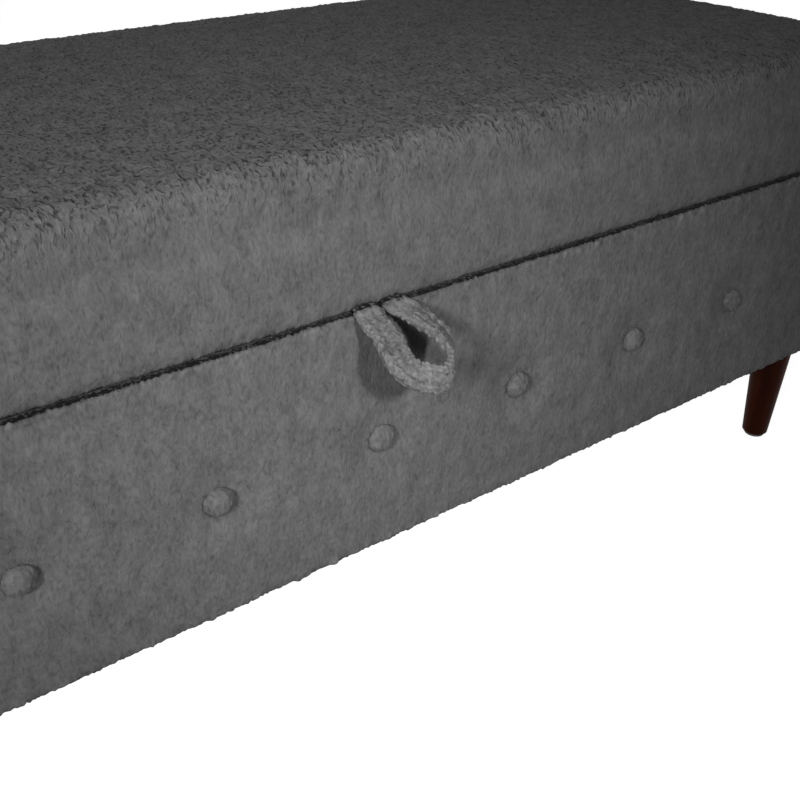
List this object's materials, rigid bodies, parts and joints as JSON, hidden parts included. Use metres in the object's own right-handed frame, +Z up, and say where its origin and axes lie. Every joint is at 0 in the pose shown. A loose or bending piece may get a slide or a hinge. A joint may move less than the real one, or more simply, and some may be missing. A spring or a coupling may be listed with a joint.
{
  "type": "storage ottoman",
  "caption": "Upholstered storage ottoman: padded box on turned legs, buttoned front, and a hinged cushion lid with stays that opens by a fabric pull loop.",
  "frame": {"origin": "on the floor, under the middle of the padded box", "axes": "+X along the box to its right, seen from the front; +Y to the hinged back, so the buttoned front faces -Y; +Z up"},
  "size_m": [1.18, 0.5387, 0.4576],
  "materials": {
    "pile_fabric": "matte",
    "loop_fabric": "matte",
    "foam": "matte",
    "lining_cloth": "matte",
    "plywood": "matte",
    "dark_wood": "satin",
    "twine": "matte",
    "black_plastic": "matte",
    "zinc_steel": "satin"
  },
  "bodies": {
    "base": {"front_panel": "plywood", "back_panel": "plywood", "left_panel": "plywood", "right_panel": "plywood", "floor_panel": "plywood", "glue_blocks": "plywood", "corner_screws": "zinc_steel", "floor_screws": "zinc_steel", "front_foam": "foam", "back_foam": "foam", "left_foam": "foam", "right_foam": "foam", "front_cover": "pile_fabric", "back_cover": "pile_fabric", "left_cover": "pile_fabric", "right_cover": "pile_fabric", "tuft_buttons": "pile_fabric", "button_twines": "twine", "button_washers": "zinc_steel", "wall_lining": "lining_cloth", "floor_mat": "lining_cloth", "dust_cover": "lining_cloth", "underside_staples": "zinc_steel", "leg_front_left": "dark_wood", "leg_front_right": "dark_wood", "leg_back_left": "dark_wood", "leg_back_right": "dark_wood", "hanger_bolts": "zinc_steel", "t_nuts": "zinc_steel", "leg_glides": "black_plastic", "hinge_base_leaves": "zinc_steel", "hinge_pins": "zinc_steel", "hinge_base_screws": "zinc_steel", "stay_wall_plates": "zinc_steel", "stay_studs": "zinc_steel", "stay_plate_screws": "zinc_steel"},
    "lid": {"lid_board": "plywood", "lid_foam": "foam", "lid_cover": "pile_fabric", "lid_lining": "lining_cloth", "hinge_lid_leaves": "zinc_steel", "hinge_lid_screws": "zinc_steel", "stay_lid_brackets": "zinc_steel", "stay_rivets": "zinc_steel", "stay_bracket_screws": "zinc_steel", "loop_tails": "loop_fabric", "tail_staples": "zinc_steel"},
    "stay_left": {"stay_arm_left": "zinc_steel"},
    "stay_right": {"stay_arm_right": "zinc_steel"},
    "loop": {"pull_loop": "loop_fabric"}
  },
  "joints": [
    {"name": "lid_hinge", "type": "hinge", "parent": "base", "child": "lid", "pos_m": [0, 0.23, 0.3353], "axis": [-1, 0, 0], "range_deg": [0, 90]},
    {"name": "stay_left_pivot", "type": "hinge", "parent": "lid", "child": "stay_left", "pos_m": [-0.5595, 0.1212, 0.3233], "axis": [-1, 0, 0], "range_deg": [-45, 0]},
    {"name": "stay_right_pivot", "type": "hinge", "parent": "lid", "child": "stay_right", "pos_m": [0.5595, 0.1212, 0.3233], "axis": [-1, 0, 0], "range_deg": [-45, 0]},
    {"name": "loop_swing", "type": "hinge", "parent": "lid", "child": "loop", "pos_m": [0, -0.23, 0.3353], "axis": [1, 0, 0], "range_deg": [-70, 18], "stiffness_Nm_per_rad": 0.35}
  ],
  "couplings": [
    {"joint": "stay_left_pivot", "follows": "lid_hinge", "ratio": -0.5},
    {"joint": "stay_right_pivot", "follows": "lid_hinge", "ratio": -0.5}
  ]
}
